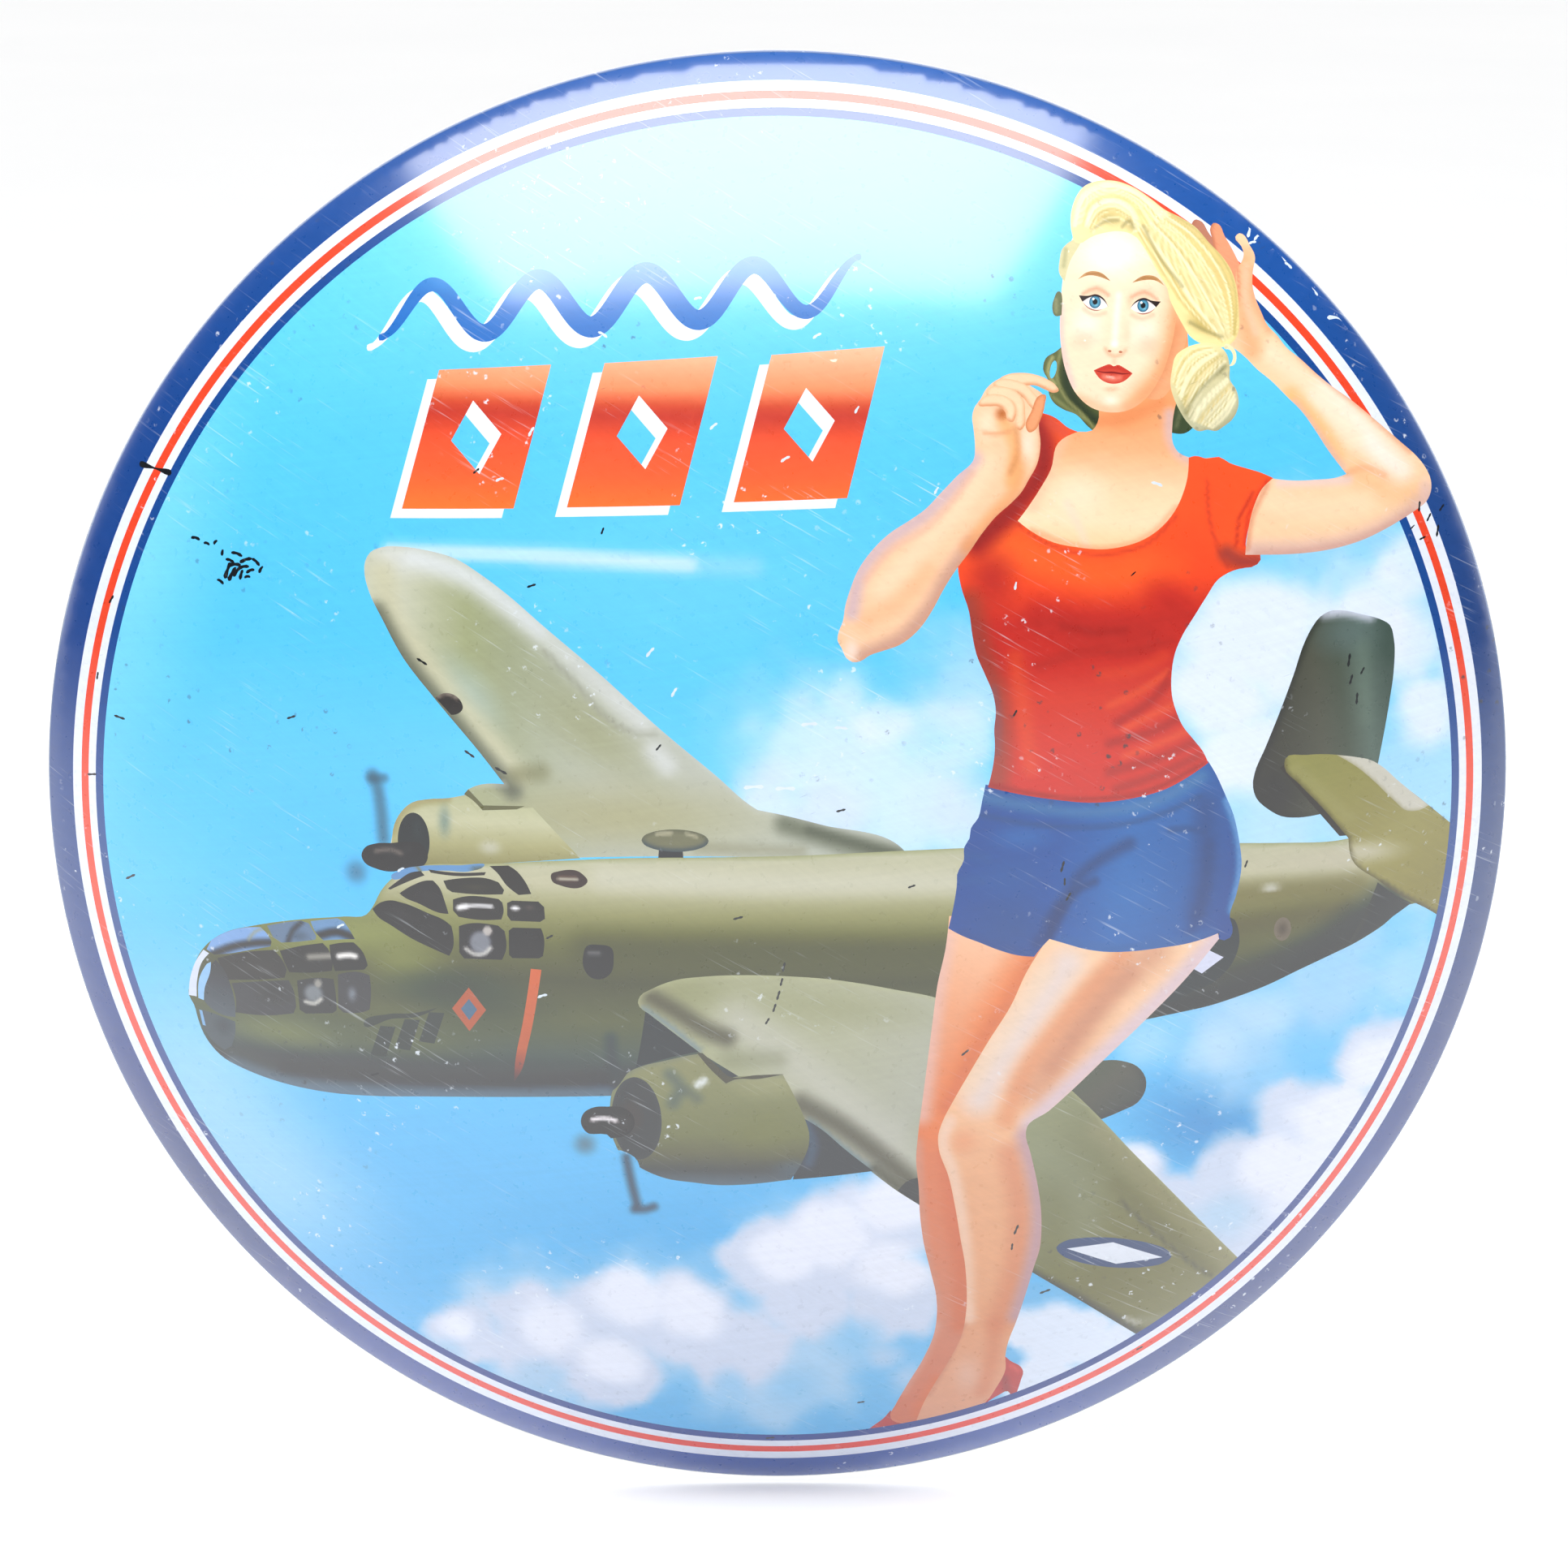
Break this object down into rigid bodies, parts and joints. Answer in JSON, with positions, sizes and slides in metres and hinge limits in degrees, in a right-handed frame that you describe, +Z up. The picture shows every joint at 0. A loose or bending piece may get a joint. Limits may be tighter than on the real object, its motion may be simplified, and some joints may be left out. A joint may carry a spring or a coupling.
{
  "type": "domed metal advertising sign",
  "caption": "Domed round pressed-steel advertising sign with a printed picture, turned-in rim flange, riveted keyhole hanger plate and soft wall bumpers.",
  "frame": {"origin": "centre of the keyhole's entry hole, on the hanger plate's wall-side face", "axes": "+Z up the wall, +Y into the wall and out of the keyhole, -Y out of the printed face towards the viewer, +X to the viewer's right"},
  "size_m": [0.381, 0.0586, 0.381],
  "materials": {
    "printed_face": "gloss print on pressed steel",
    "zinc_plate": "zinc plated, satin",
    "rivet_aluminium": "satin",
    "mandrel_steel": "dull, snapped end",
    "bumper_rubber": "matt"
  },
  "bodies": {
    "root": {"face_shell": "printed_face", "hanger_plate": "zinc_plate", "rivet_body_left": "rivet_aluminium", "rivet_body_right": "rivet_aluminium", "rivet_mandrel_left": "mandrel_steel", "rivet_mandrel_right": "mandrel_steel", "bumper_upper_right": "bumper_rubber", "bumper_upper_left": "bumper_rubber", "bumper_lower_left": "bumper_rubber", "bumper_lower_right": "bumper_rubber"}
  },
  "joints": []
}
